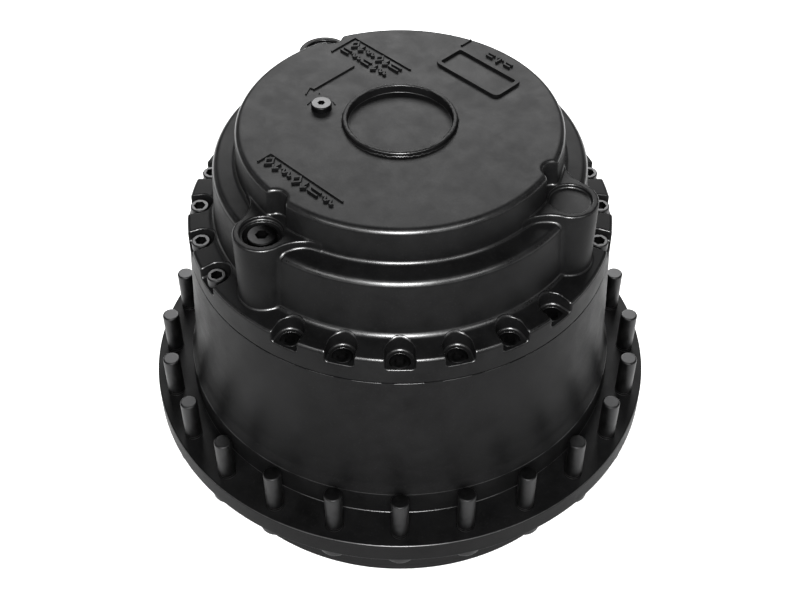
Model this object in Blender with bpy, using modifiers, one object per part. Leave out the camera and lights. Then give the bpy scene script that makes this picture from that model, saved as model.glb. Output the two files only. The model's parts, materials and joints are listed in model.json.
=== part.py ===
"""Two-stage planetary wheel gearbox.

A fixed spindle carries a rotating hub on two tapered roller bearings. The hub
holds the output ring gear and the bolted cover, and the cover holds the input
ring gear. The axis is +Z, the spindle's mounting face lies on z = 0, and the
filler side of the cover faces +Y.
"""

import math

import bmesh
import bpy

MM = 0.001
TAU = 2.0 * math.pi

# ---------------------------------------------------------------- dimensions
# All lengths are in millimetres, all angles in degrees.
FIT = 0.3                      # gap between pieces that touch

ROUND = 36                     # facets round the big turned pieces
INNER_ROUND = 24               # facets round the bearings
SEAL_ROUND = 24                # facets round the seals
SMALL_ROUND = 16               # facets round gear bores, pins and bosses
OFF_EDGE = 9.0                 # turns a small hole so that its corners miss the big facets' edges

SPINDLE_R = 256.5              # mounting flange of the spindle
SPINDLE_FLANGE_TOP = 38.0
SPINDLE_TOP = 236.0
SPINDLE_BORE_R = 62.0
SPINDLE_SPIGOT_R = 105.0
MOTOR_FACE_R = 152.0
MOTOR_FACE_Z = 6.0
MOTOR_PILOT_R = 76.2
MOTOR_PILOT_Z = 31.0
MOTOR_BOLT_R = 114.3
FRAME_BOLT_R = 228.0
FRAME_BOLT_COUNT = 12
TAP_M20_R = 8.75
TAP_DEPTH = 32.0

WHEEL_FLANGE_R = 300.0
WHEEL_FLANGE_BOTTOM = 84.5
WHEEL_FLANGE_TOP = 111.0
WHEEL_FLANGE_CHAMFER = (2.0, 2.0)
WHEEL_PILOT_R = 254.0
WHEEL_PILOT_TOP = 141.0
HUB_SKIRT_R = 252.0
HUB_BOTTOM = 42.0
HUB_TOP = 310.0
BARREL_BOTTOM_R = 246.0
BARREL_TOP_R = 238.9
RING_SEAT_R = 214.3
RING_SEAT_Z = 202.0

STUD_COUNT = 24
STUD_CIRCLE_R = 280.0
STUD_R = 9.9
STUD_TOP = 167.0
STUD_HEAD_R = 18.7
STUD_HEAD_H = 8.2
STUD_SIDES = 8

COVER_FLANGE_TOP = 347.3
COVER_SPIGOT_R = 213.9
COVER_SPIGOT_Z = 300.0
COVER_TOP = 461.7
COVER_LEDGE_Z = 418.0
COVER_LEDGE_RISE = 2.4                            # ledge, higher next to the drum
COVER_WALL = ((207.2, 358.0), (204.0, 412.0))     # lower wall, radius and height
COVER_DRUM = ((177.8, 424.0), (176.0, 456.5))     # upper drum, radius and height
POCKET_R = 56.3
POCKET_Z = 457.3
RIM_R = 61.4                                      # raised rim round the pocket
RIM_TOP = 466.8
CEILING_Z = 437.0

SCREW_SLOTS = 24
SCREW_CIRCLE_R = 226.0
SCREW_SEAT_Z = 330.5
SCREW_NOTCH_R = 15.4
SCREW_HEAD_R = 10.5
SCREW_HEAD_H = 12.0
SCREW_SHANK_R = 7.0
SCREW_END_Z = 281.0
SCREW_SIDES = 6
SCREW_LINK = (223.5, 228.5, 310.12, 310.32)       # thin ring in the joint: inner, outer, low, high
SUNK_SCREWS = (-75, -60, -45, -30, -15, 0)        # heads in counterbores, flush with the notch floor
SUNK_ROOM = 0.5                                   # counterbore over the head, in radius
JOINT_GAP = 0.45                                  # between hub and cover

BOSS_ANGLES = (-90.0, 18.2, 161.8)                # drain side first
BOSS_SCREW_GAPS = (-90, 15, 165)                  # screw places taken by bosses
BOSS_CIRCLE_R = 197.4
BOSS_R = 29.8
BOSS_TOP = 429.5
BOSS_WELL_R = 22.7
BOSS_WELL_DEPTH = 4.7
DRAIN_ROOM_R = 19.8                               # deeper hole round the drain plug
DRAIN_ROOM_DEPTH = 15.0
GUSSET_AT = (206.2, 69.2)                         # centre of the hollow side curve, boss on +X
GUSSET_R = 40.0
GUSSET_TURN = (198.5, 262.8)
SCALLOP_R = 12.5                                  # hollow in the drum above each boss
SCALLOP_CIRCLE_R = 177.5
DRAIN_HEAD_R = 15.2
DRAIN_HEAD_H = 10.2
DRAIN_SHANK_R = 11.0
LEVEL_AT = (-75.5, -43.8)
LEVEL_HEAD_R = 11.1
LEVEL_HEAD_H = 6.8
LEVEL_SHANK_R = 8.0

PRESSURE_ANGLE = 25.0
BACKLASH = 0.9                                    # taken off each tooth at the pitch circle
OUT_MODULE = 8.0
OUT_SUN, OUT_PLANET, OUT_RING = 18, 15, 48        # teeth of the output stage
IN_MODULE = 7.0
IN_SUN, IN_PLANET, IN_RING = 12, 18, 48           # teeth of the input stage
PLANETS = (90.0, 210.0, 330.0)                    # planet places, both stages
OUT_GEAR_Z = (243.0, 293.0)
OUT_RING_Z = (202.4, 299.5)
IN_GEAR_Z = (334.0, 374.0)
IN_RING_Z = (330.0, 388.2)
OUT_RING_R = 213.9
IN_RING_R = 189.9
OUT_PIN_R, IN_PIN_R = 20.0, 16.0

INNER_BEARING_Z = (67.0, 105.6)
OUTER_BEARING_Z = (158.4, 199.6)
ROLLERS = 12


# ---------------------------------------------------------------- scene
for old in list(bpy.data.objects):
    bpy.data.objects.remove(old)

PARTS = bpy.data.collections.new("planetary_gearbox")
CUTTERS = bpy.data.collections.new("planetary_gearbox_cutters")
for group in (PARTS, CUTTERS):
    bpy.context.scene.collection.children.link(group)


def paint(name, colour, roughness, metallic):
    made = bpy.data.materials.new(name)
    made.use_nodes = True
    shader = made.node_tree.nodes["Principled BSDF"]
    shader.inputs["Base Color"].default_value = (*colour, 1.0)
    shader.inputs["Roughness"].default_value = roughness
    shader.inputs["Metallic"].default_value = metallic
    made.diffuse_color = (*colour, 1.0)
    return made


CASTING = ("cast_paint", (0.055, 0.055, 0.056), 0.42, 0.6)
STEEL = ("bright_steel", (0.42, 0.42, 0.43), 0.35, 1.0)
DARK_STEEL = ("dark_steel", (0.10, 0.10, 0.105), 0.4, 0.9)
GEAR_STEEL = ("gear_steel", (0.33, 0.33, 0.34), 0.3, 1.0)
BEARING_STEEL = ("bearing_steel", (0.5, 0.5, 0.51), 0.2, 1.0)
BRONZE = ("bronze", (0.45, 0.30, 0.12), 0.35, 1.0)
RUBBER = ("seal_rubber", (0.02, 0.02, 0.02), 0.75, 0.0)


def polar(radius, degrees):
    a = math.radians(degrees)
    return radius * math.cos(a), radius * math.sin(a)


# ---------------------------------------------------------------- shape tools
def clockwise(points):
    area = sum(
        points[i - 1][0] * points[i][1] - points[i][0] * points[i - 1][1]
        for i in range(len(points))
    )
    return list(points) if area < 0 else list(reversed(points))


def link(mesh, name, group):
    obj = bpy.data.objects.new(name, mesh)
    group.objects.link(obj)
    if group is CUTTERS:
        obj.hide_render = True
        obj.display_type = "WIRE"
    return obj


def as_mesh(obj, name, group):
    """The evaluated shape as a welded mesh object in the same place."""
    bpy.context.view_layer.update()
    graph = bpy.context.evaluated_depsgraph_get()
    mesh = bpy.data.meshes.new_from_object(obj.evaluated_get(graph))
    mesh.name = name
    work = bmesh.new()
    work.from_mesh(mesh)
    bmesh.ops.remove_doubles(work, verts=work.verts, dist=1e-6)
    bmesh.ops.recalc_face_normals(work, faces=work.faces)
    work.to_mesh(mesh)
    work.free()
    made = link(mesh, name, group)
    made.matrix_world = obj.matrix_world
    bpy.data.objects.remove(obj)
    made.name = name
    return made


def turned(name, profile, steps, group=None, phase=0.0):
    """A profile of (radius, height) spun round Z. A profile that touches the axis stays open there."""
    points = clockwise(profile)
    on_axis = [i for i, (r, _) in enumerate(points) if r < 1e-9]
    mesh = bpy.data.meshes.new(name)
    edges = [(i, (i + 1) % len(points)) for i in range(len(points))]
    if on_axis:
        edges = [e for e in edges if not (e[0] in on_axis and e[1] in on_axis)]
    mesh.from_pydata(
        [(r * MM, 0.0, z * MM) for r, z in points], edges, []
    )
    obj = link(mesh, name + "_profile", group or PARTS)
    spin = obj.modifiers.new("Screw", "SCREW")
    spin.axis = "Z"
    spin.angle = TAU
    spin.steps = spin.render_steps = steps
    spin.use_merge_vertices = True
    spin.merge_threshold = 1e-6
    obj.rotation_euler.z = math.radians(phase)
    return as_mesh(obj, name, group or PARTS)


def plate(name, outlines, low, high, group=None):
    """Flat outlines (the first is the edge, the rest are holes) with a thickness from low to high."""
    curve = bpy.data.curves.new(name, "CURVE")
    curve.dimensions = "2D"
    curve.fill_mode = "BOTH"
    curve.extrude = (high - low) / 2.0 * MM
    for outline in outlines:
        spline = curve.splines.new("POLY")
        spline.points.add(len(outline) - 1)
        for point, (x, y) in zip(spline.points, outline):
            point.co = (x * MM, y * MM, 0.0, 1.0)
        spline.use_cyclic_u = True
    obj = bpy.data.objects.new(name + "_outline", curve)
    (group or PARTS).objects.link(obj)
    obj.location.z = (low + high) / 2.0 * MM
    made = as_mesh(obj, name, group or PARTS)
    bpy.data.curves.remove(curve)
    return made


def circle(radius, sides, centre=(0.0, 0.0), phase=0.0):
    return [
        (
            centre[0] + radius * math.cos(TAU * i / sides + phase),
            centre[1] + radius * math.sin(TAU * i / sides + phase),
        )
        for i in range(sides)
    ]


def rod(name, radius, low, high, sides, at=(0.0, 0.0), group=None, phase=0.0):
    """A round bar along Z."""
    mesh = bpy.data.meshes.new(name)
    work = bmesh.new()
    bmesh.ops.create_cone(
        work, cap_ends=True, segments=sides,
        radius1=radius * MM, radius2=radius * MM, depth=(high - low) * MM,
    )
    work.to_mesh(mesh)
    work.free()
    obj = link(mesh, name, group or PARTS)
    obj.location = (at[0] * MM, at[1] * MM, (low + high) / 2.0 * MM)
    obj.rotation_euler.z = phase + math.pi / 2.0
    return obj


def repeated(name, source, places, group=None):
    """One mesh with a copy of the source at each (x, y, turn), the source being modelled at the origin."""
    work = bmesh.new()
    bpy.context.view_layer.update()
    base = source.matrix_world.copy()
    for x, y, turn in places:
        copy = source.data.copy()
        source_turn = math.radians(turn)
        copy.transform(base)
        cos, sin = math.cos(source_turn), math.sin(source_turn)
        for vertex in copy.vertices:
            px, py, pz = vertex.co
            vertex.co = (cos * px - sin * py + x * MM, sin * px + cos * py + y * MM, pz)
        work.from_mesh(copy)
        bpy.data.meshes.remove(copy)
    mesh = bpy.data.meshes.new(name)
    work.to_mesh(mesh)
    work.free()
    made = link(mesh, name, group or CUTTERS)
    bpy.data.objects.remove(source)
    return made


def boolean(obj, other, operation):
    step = obj.modifiers.new(operation.title(), "BOOLEAN")
    step.operation = operation
    step.solver = "EXACT"
    step.object = other
    return obj


def cut(obj, cutter):
    return boolean(obj, cutter, "DIFFERENCE")


def join(obj, other):
    return boolean(obj, other, "UNION")


def finish(obj, kind, smooth=35.0):
    """Evaluates the piece, smooths its round faces and gives it its own material."""
    keep = obj.name
    if obj.modifiers:
        obj = as_mesh(obj, keep, PARTS)
    obj.data.shade_smooth()
    obj.data.set_sharp_from_angle(angle=math.radians(smooth))
    _, colour, roughness, metallic = kind
    obj.data.materials.clear()
    obj.data.materials.append(paint(keep + "_" + kind[0], colour, roughness, metallic))
    return obj


# ---------------------------------------------------------------- gear tools
def involute(a):
    return math.tan(a) - a


def gear_outline(module, teeth, internal=False, flank=3, phase=0.0):
    """Tooth outline with one tooth centred at the phase angle. Internal teeth point inwards."""
    pressure = math.radians(PRESSURE_ANGLE)
    pitch = module * teeth / 2.0
    base = pitch * math.cos(pressure)
    half = math.pi / (2.0 * teeth) - BACKLASH / 2.0 / pitch
    if internal:
        near, far = pitch + 1.25 * module, pitch - module
    else:
        near, far = pitch - 1.25 * module, pitch + module

    def half_angle(radius):
        lean = involute(math.acos(min(1.0, base / max(radius, base))))
        drift = involute(pressure) - lean
        return half + (-drift if internal else drift)

    radii = [near + (far - near) * i / (flank - 1) for i in range(flank)]
    points = []
    for tooth in range(teeth):
        middle = phase + TAU * tooth / teeth
        rise = [(r, middle - half_angle(r)) for r in radii]
        fall = [(r, middle + half_angle(r)) for r in reversed(radii)]
        points += [(r * math.cos(a), r * math.sin(a)) for r, a in rise + fall]
    return points


def planet_phase(sun_teeth, planet_teeth, place, sun_phase):
    """The planet's turn that puts one of its gaps on the sun's tooth."""
    share = 0.5 - sun_teeth * (place - sun_phase) / TAU
    return place + math.pi - TAU / planet_teeth * share


def ring_phase(ring_teeth, planet_teeth, place, planet_turn):
    share = 0.5 + planet_teeth * (place - planet_turn) / TAU
    return place - TAU / ring_teeth * share


def axis_empty(name, x, y, z):
    empty = bpy.data.objects.new(name, None)
    empty.empty_display_size = 0.03
    empty.location = (x * MM, y * MM, z * MM)
    PARTS.objects.link(empty)
    return empty


# ---------------------------------------------------------------- spindle
spindle = turned("spindle", [
    (SPINDLE_BORE_R, SPINDLE_TOP), (SPINDLE_SPIGOT_R, SPINDLE_TOP),
    (SPINDLE_SPIGOT_R, 203.0), (130.0, 203.0), (130.0, 112.0), (140.0, 112.0),
    (140.0, 61.7), (150.0, 61.7), (150.0, SPINDLE_FLANGE_TOP),
    (193.0, SPINDLE_FLANGE_TOP), (193.0, 48.5), (199.0, 48.5),
    (199.0, SPINDLE_FLANGE_TOP), (SPINDLE_R, SPINDLE_FLANGE_TOP),
    (SPINDLE_R, 0.0), (MOTOR_FACE_R, 0.0), (MOTOR_FACE_R, MOTOR_FACE_Z),
    (MOTOR_PILOT_R, MOTOR_FACE_Z), (MOTOR_PILOT_R, MOTOR_PILOT_Z),
    (SPINDLE_BORE_R, MOTOR_PILOT_Z),
], ROUND)
tap = rod("frame_tap", TAP_M20_R, -4.0, TAP_DEPTH, 6, group=CUTTERS)
cut(spindle, repeated("frame_taps", tap, [
    (*polar(FRAME_BOLT_R, 360.0 / FRAME_BOLT_COUNT * (i + 0.5)), OFF_EDGE)
    for i in range(FRAME_BOLT_COUNT)
]))
tap = rod("motor_tap", TAP_M20_R, 0.0, MOTOR_FACE_Z + TAP_DEPTH, 6, group=CUTTERS)
cut(spindle, repeated("motor_taps", tap, [
    (*polar(MOTOR_BOLT_R, 45.0 + 90.0 * i), OFF_EDGE) for i in range(4)
]))
finish(spindle, CASTING)

# ---------------------------------------------------------------- hub
hub = turned("hub", [
    (BARREL_TOP_R, HUB_TOP), (BARREL_BOTTOM_R, 175.0), (249.0, 156.0),
    (WHEEL_PILOT_R, WHEEL_PILOT_TOP),
    (WHEEL_PILOT_R, WHEEL_FLANGE_TOP), (WHEEL_FLANGE_R, WHEEL_FLANGE_TOP),
    (WHEEL_FLANGE_R, WHEEL_FLANGE_BOTTOM + WHEEL_FLANGE_CHAMFER[1]),
    (WHEEL_FLANGE_R - WHEEL_FLANGE_CHAMFER[0], WHEEL_FLANGE_BOTTOM),
    (HUB_SKIRT_R, WHEEL_FLANGE_BOTTOM), (HUB_SKIRT_R, HUB_BOTTOM),
    (206.0, HUB_BOTTOM), (206.0, 50.6), (190.0, 50.6), (190.0, 106.0),
    (176.0, 106.0), (168.0, 158.0),
    (180.0, 158.0), (180.0, RING_SEAT_Z), (RING_SEAT_R, RING_SEAT_Z),
    (RING_SEAT_R, HUB_TOP),
], ROUND)
hole = rod("stud_hole", STUD_R + FIT + 0.1, 60.0, 118.0, STUD_SIDES, group=CUTTERS)
cut(hub, repeated("stud_holes", hole, [
    (*polar(STUD_CIRCLE_R, 15.0 * i), 15.0 * i + OFF_EDGE) for i in range(STUD_COUNT)
]))
screw_angles = [
    15 * i - 180 for i in range(SCREW_SLOTS) if 15 * i - 180 not in BOSS_SCREW_GAPS
]
hole = rod("hub_tap", SCREW_SHANK_R + FIT + 0.2, SCREW_END_Z - 1.5, HUB_TOP + 6.0,
           SCREW_SIDES, group=CUTTERS)
cut(hub, repeated("hub_taps", hole, [
    (*polar(SCREW_CIRCLE_R, a), a + OFF_EDGE) for a in screw_angles
]))
finish(hub, CASTING)

# ---------------------------------------------------------------- wheel studs
stud_bottom = WHEEL_FLANGE_BOTTOM - FIT - STUD_HEAD_H
stud_shape = turned("wheel_stud", [
    (0.0, STUD_TOP), (STUD_R, STUD_TOP), (STUD_R, stud_bottom + STUD_HEAD_H),
    (STUD_HEAD_R, stud_bottom + STUD_HEAD_H), (STUD_HEAD_R, stud_bottom),
    (0.0, stud_bottom),
], STUD_SIDES)
for i in range(STUD_COUNT):
    mesh = stud_shape.data.copy()
    stud = link(mesh, "wheel_stud_%02d" % (i + 1), PARTS)
    x, y = polar(STUD_CIRCLE_R, 15.0 * i)
    stud.location = (x * MM, y * MM, 0.0)
    stud.rotation_euler.z = math.radians(15.0 * i + OFF_EDGE)
    finish(stud, STEEL)
bpy.data.objects.remove(stud_shape)

# ---------------------------------------------------------------- cover
drum_low, drum_high = COVER_DRUM
wall_low, wall_high = COVER_WALL
cover = turned("cover", [
    (0.0, POCKET_Z), (POCKET_R, POCKET_Z), (POCKET_R, RIM_TOP), (RIM_R, RIM_TOP), (RIM_R, COVER_TOP),
    (drum_high[0] - 5.0, COVER_TOP), drum_high, drum_low,
    (drum_low[0] + 5.5, COVER_LEDGE_Z + COVER_LEDGE_RISE), (wall_high[0] - 5.0, COVER_LEDGE_Z + 0.6),
    wall_high, wall_low, (wall_low[0] + 8.0, COVER_FLANGE_TOP),
    (BARREL_TOP_R - 2.5, COVER_FLANGE_TOP - 2.6), (BARREL_TOP_R - 0.5, COVER_FLANGE_TOP - 4.8),
    (BARREL_TOP_R, HUB_TOP + JOINT_GAP), (COVER_SPIGOT_R, HUB_TOP + JOINT_GAP),
    (COVER_SPIGOT_R, 304.0), (209.6, 304.0), (209.6, COVER_SPIGOT_Z), (0.0, COVER_SPIGOT_Z),
], ROUND)


def boss_outline():
    """Boss circle and the hollow curves that run from it to the drum, the boss centre on +X, seen from above."""
    first, last = GUSSET_TURN
    side = []
    for i in range(1, 6):
        x, y = polar(GUSSET_R, first + (last - first) * i / 5)
        side.append((GUSSET_AT[0] + x, GUSSET_AT[1] + y))
    tip_x, tip_y = polar(GUSSET_R, first)
    inward = (drum_low[0] - 4.0) / math.hypot(GUSSET_AT[0] + tip_x, GUSSET_AT[1] + tip_y)
    side.insert(0, ((GUSSET_AT[0] + tip_x) * inward, (GUSSET_AT[1] + tip_y) * inward))
    touch = math.atan2(GUSSET_AT[1], GUSSET_AT[0] - BOSS_CIRCLE_R)
    arc = [
        (
            BOSS_CIRCLE_R + BOSS_R * math.cos(touch - 2.0 * touch * i / 10),
            BOSS_R * math.sin(touch - 2.0 * touch * i / 10),
        )
        for i in range(1, 10)
    ]
    return side + arc + [(x, -y) for x, y in reversed(side)] + [(BOSS_CIRCLE_R - 40.0, 0.0)]


for i, angle in enumerate(BOSS_ANGLES):
    x, y = polar(BOSS_CIRCLE_R, angle)
    pillar = rod("boss_pillar_%d" % i, BOSS_R, COVER_FLANGE_TOP - 6.0, BOSS_TOP,
                 SMALL_ROUND, (x, y), CUTTERS)
    web = plate("boss_web_%d" % i, [boss_outline()], COVER_LEDGE_Z - 12.0, BOSS_TOP, CUTTERS)
    web.rotation_euler.z = math.radians(angle)
    join(pillar, web)
    join(cover, pillar)
core = turned("cover_core", [
    (0.0, CEILING_Z), (150.0, CEILING_Z), (162.0, CEILING_Z - 12.0), (162.0, 388.6),
    (IN_RING_R + FIT + 0.1, 388.6), (IN_RING_R + FIT + 0.1, COVER_SPIGOT_Z - 8.0),
    (0.0, COVER_SPIGOT_Z - 8.0),
], ROUND, CUTTERS)
cut(cover, core)
notch_outline = [
    (SCREW_CIRCLE_R + SCREW_NOTCH_R * math.cos(math.radians(90.0 + 36.0 * i)),
     SCREW_NOTCH_R * math.sin(math.radians(90.0 + 36.0 * i)))
    for i in range(6)
] + [(SCREW_CIRCLE_R + 30.0, -SCREW_NOTCH_R), (SCREW_CIRCLE_R + 30.0, SCREW_NOTCH_R)]
notch = plate("screw_notch", [notch_outline], SCREW_SEAT_Z, COVER_FLANGE_TOP + 12.0, CUTTERS)
cut(cover, repeated("screw_notches", notch, [(0.0, 0.0, float(a)) for a in screw_angles]))
hole = rod("screw_hole", SCREW_SHANK_R + FIT + 0.2, COVER_SPIGOT_Z - 4.0, SCREW_SEAT_Z + 4.0,
           SCREW_SIDES, group=CUTTERS)
cut(cover, repeated("screw_holes", hole, [
    (*polar(SCREW_CIRCLE_R, a), a + OFF_EDGE) for a in screw_angles
]))
room = rod("screw_room", SCREW_HEAD_R + SUNK_ROOM, SCREW_SEAT_Z - SCREW_HEAD_H, SCREW_SEAT_Z + 4.0,
           2 * SCREW_SIDES, group=CUTTERS)
cut(cover, repeated("screw_rooms", room, [
    (*polar(SCREW_CIRCLE_R, a), a + OFF_EDGE) for a in SUNK_SCREWS
]))
for i, angle in enumerate(BOSS_ANGLES):
    at = polar(BOSS_CIRCLE_R, angle)
    cut(cover, rod("scallop_%d" % i, SCALLOP_R, BOSS_TOP + 0.2, COVER_TOP + 10.0,
                   SMALL_ROUND, polar(SCALLOP_CIRCLE_R, angle), CUTTERS))
    cut(cover, rod("boss_well_%d" % i, BOSS_WELL_R, BOSS_TOP - BOSS_WELL_DEPTH, BOSS_TOP + 5.0,
                   SMALL_ROUND, at, CUTTERS))
drain_at = polar(BOSS_CIRCLE_R, BOSS_ANGLES[0])
drain_seat = BOSS_TOP - DRAIN_ROOM_DEPTH
cut(cover, rod("drain_room", DRAIN_ROOM_R, drain_seat, BOSS_TOP - 2.0, SMALL_ROUND, drain_at, CUTTERS))
cut(cover, rod("drain_tap", DRAIN_SHANK_R + FIT + 0.1, 393.0, drain_seat + 4.0, 12, drain_at, CUTTERS))
passage = rod("drain_passage", 4.5, 150.0, BOSS_CIRCLE_R, 8, group=CUTTERS)
passage.location = (0.0, -(150.0 + BOSS_CIRCLE_R) / 2.0 * MM, 397.5 * MM)
passage.rotation_euler = (math.radians(90.0), 0.0, 0.0)
cut(cover, passage)
cut(cover, rod("level_tap", LEVEL_SHANK_R + FIT + 0.1, CEILING_Z - 6.0, COVER_TOP + 6.0, 12,
               LEVEL_AT, CUTTERS))
finish(cover, CASTING)


def socket_plug(name, head_r, head_h, shank_r, seat, end, at, socket_r, socket_depth):
    """A plug with a round head, a plain shank and a hexagon socket."""
    plug = turned(name, [
        (0.0, seat + head_h), (head_r - 1.0, seat + head_h), (head_r, seat + head_h - 1.0),
        (head_r, seat), (shank_r, seat), (shank_r, end), (0.0, end),
    ], 12)
    hexagon = rod(name + "_socket", socket_r, seat + head_h - socket_depth, seat + head_h + 4.0, 6,
                  group=CUTTERS)
    cut(plug, hexagon)
    plug = as_mesh(plug, name, PARTS)
    plug.location = (at[0] * MM, at[1] * MM, 0.0)
    return plug


finish(socket_plug("drain_plug", DRAIN_HEAD_R, DRAIN_HEAD_H, DRAIN_SHANK_R, drain_seat + FIT, 403.5,
                   drain_at, 6.9, 6.5), DARK_STEEL)
finish(socket_plug("level_plug", LEVEL_HEAD_R, LEVEL_HEAD_H, LEVEL_SHANK_R, COVER_TOP + FIT,
                   CEILING_Z + 3.0, LEVEL_AT, 4.6, 5.0), DARK_STEEL)

# ---------------------------------------------------------------- cover screws
def screw_shape(name, seat):
    """A plain screw with its head on the given seat."""
    return turned(name, [
        (0.0, seat + FIT + SCREW_HEAD_H),
        (SCREW_HEAD_R, seat + FIT + SCREW_HEAD_H), (SCREW_HEAD_R, seat + FIT),
        (SCREW_SHANK_R, seat + FIT), (SCREW_SHANK_R, SCREW_END_Z), (0.0, SCREW_END_Z),
    ], SCREW_SIDES, CUTTERS)


raised_screws = repeated("raised_screws", screw_shape("raised_screw", SCREW_SEAT_Z), [
    (*polar(SCREW_CIRCLE_R, a), a + OFF_EDGE) for a in screw_angles if a not in SUNK_SCREWS
])
sunk_screws = repeated("sunk_screws", screw_shape("sunk_screw", SCREW_SEAT_Z - SCREW_HEAD_H), [
    (*polar(SCREW_CIRCLE_R, a), a + OFF_EDGE) for a in SUNK_SCREWS
])
cover_screws = turned("cover_screws", [
    (SCREW_LINK[0], SCREW_LINK[3]), (SCREW_LINK[1], SCREW_LINK[3]),
    (SCREW_LINK[1], SCREW_LINK[2]), (SCREW_LINK[0], SCREW_LINK[2]),
], ROUND)
join(cover_screws, raised_screws)
join(cover_screws, sunk_screws)
finish(cover_screws, DARK_STEEL)

# ---------------------------------------------------------------- main bearings and seal
def bearing(name, low, high, bore, outside, cone_ends, cup_ends):
    """Cup, cone and roller set. The ends are raceway radii at the low and high faces."""
    cup = turned(name + "_cup", [
        (cup_ends[0], low), (outside, low), (outside, high), (cup_ends[1], high),
    ], INNER_ROUND)
    finish(cup, BEARING_STEEL)
    rib_low, rib_high = (4.0, 1.2) if cone_ends[0] > cone_ends[1] else (1.2, 3.0)
    cone = turned(name + "_cone", [
        (bore, low - rib_low), (cone_ends[0], low - rib_low),
        (cone_ends[1], high + rib_high), (bore, high + rib_high),
    ], INNER_ROUND)
    finish(cone, BEARING_STEEL)
    flat = math.cos(math.pi / INNER_ROUND)
    outer_r = [r * flat - 0.5 for r in cup_ends]
    inner_r = [(r + 0.6) / math.cos(0.17 * TAU / ROLLERS) for r in cone_ends]
    mid = (outer_r[0] + inner_r[0]) / 2.0
    swell = (outer_r[0] - inner_r[0]) / 2.0
    outer, inner = [], []
    for i in range(ROLLERS):
        middle = TAU * i / ROLLERS
        for share, rise in ((-0.30, 0.35), (-0.17, 1.0), (0.17, 1.0), (0.30, 0.35)):
            a = middle + share * TAU / ROLLERS
            outer.append(((mid + swell * rise) * math.cos(a), (mid + swell * rise) * math.sin(a)))
            inner.append(((mid - swell * rise) * math.cos(a), (mid - swell * rise) * math.sin(a)))
    rollers = plate(name + "_rollers", [outer, inner], low + 1.5, high - 1.5)
    shift = (outer_r[1] - outer_r[0]) * MM
    for vertex in rollers.data.vertices:
        if vertex.co.z > 0.0:
            r = math.hypot(vertex.co.x, vertex.co.y)
            vertex.co.x *= (r + shift) / r
            vertex.co.y *= (r + shift) / r
    finish(rollers, BEARING_STEEL)


bearing("inner_bearing", *INNER_BEARING_Z, 141.7, 188.9, (160.5, 154.5), (181.0, 175.0))
bearing("outer_bearing", *OUTER_BEARING_Z, 131.6, 178.9, (146.0, 151.5), (166.5, 172.0))

finish(turned("seal_ring_fixed", [
    (158.0, 49.9), (177.0, 49.9), (177.0, 46.5), (170.0, 44.0), (170.0, 38.6), (158.0, 38.6),
], SEAL_ROUND), GEAR_STEEL)
finish(turned("seal_ring_rotating", [
    (158.0, 62.0), (170.0, 62.0), (170.0, 56.5), (177.0, 54.0), (177.0, 50.5), (158.0, 50.5),
], SEAL_ROUND), GEAR_STEEL)
finish(turned("seal_toric_fixed", [
    (182.0, 48.0), (187.6, 48.0), (190.6, 43.8), (187.6, 39.0), (182.0, 39.0), (179.4, 43.8),
], SEAL_ROUND), RUBBER)
finish(turned("seal_toric_rotating", [
    (182.0, 61.5), (187.0, 61.5), (188.4, 57.0), (187.0, 52.8), (182.0, 52.8), (179.4, 57.0),
], SEAL_ROUND), RUBBER)
finish(turned("cover_o_ring", [
    (210.4, 303.6), (213.6, 303.6), (213.6, 300.3), (210.4, 300.3),
], ROUND), RUBBER)

# ---------------------------------------------------------------- output stage
def stage(prefix, module, sun_teeth, planet_teeth, ring_teeth, gear_z, ring_z, ring_r, bore_r, pin_r, pin_z):
    """Ring gear, planets and pins of one stage. The sun has a tooth on +X."""
    sun_turn = 0.0
    centre = module * (sun_teeth + planet_teeth) / 2.0
    turns = []
    for i, place in enumerate(PLANETS):
        a = math.radians(place)
        turn = planet_phase(sun_teeth, planet_teeth, a, sun_turn)
        turns.append(turn)
        x, y = polar(centre, place)
        axis = axis_empty("%s_planet_axis_%d" % (prefix, i + 1), x, y, sum(gear_z) / 2.0)
        half = (gear_z[1] - gear_z[0]) / 2.0
        gear = plate("%s_planet_%d" % (prefix, i + 1), [
            gear_outline(module, planet_teeth), circle(bore_r, SMALL_ROUND),
        ], -half, half)
        gear.parent = axis
        gear.rotation_euler.z = turn
        finish(gear, GEAR_STEEL, 20.0)
        finish(rod("%s_planet_pin_%d" % (prefix, i + 1), pin_r, *pin_z, SMALL_ROUND, (x, y)), STEEL)
    ring_turn = ring_phase(ring_teeth, planet_teeth, math.radians(PLANETS[0]), turns[0])
    ring = plate(prefix + "_ring_gear", [
        circle(ring_r, ROUND), gear_outline(module, ring_teeth, internal=True, flank=2, phase=ring_turn),
    ], *ring_z)
    finish(ring, GEAR_STEEL, 20.0)


def carrier(name, profile, centre, window_r, window_z, pin_r, pin_z, kind):
    """A cage carrier: a turned body with three planet windows and three pin holes."""
    body = turned(name, profile, ROUND)
    window = rod(name + "_window", window_r, *window_z, 14, group=CUTTERS)
    cut(body, repeated(name + "_windows", window, [(*polar(centre, p), 0.0) for p in PLANETS]))
    hole = rod(name + "_pin_hole", pin_r + FIT + 0.1, pin_z[0] - 0.4, pin_z[1] + 20.0, SMALL_ROUND,
               group=CUTTERS)
    cut(body, repeated(name + "_pin_holes", hole, [(*polar(centre, p), 0.0) for p in PLANETS]))
    return finish(body, kind)


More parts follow.
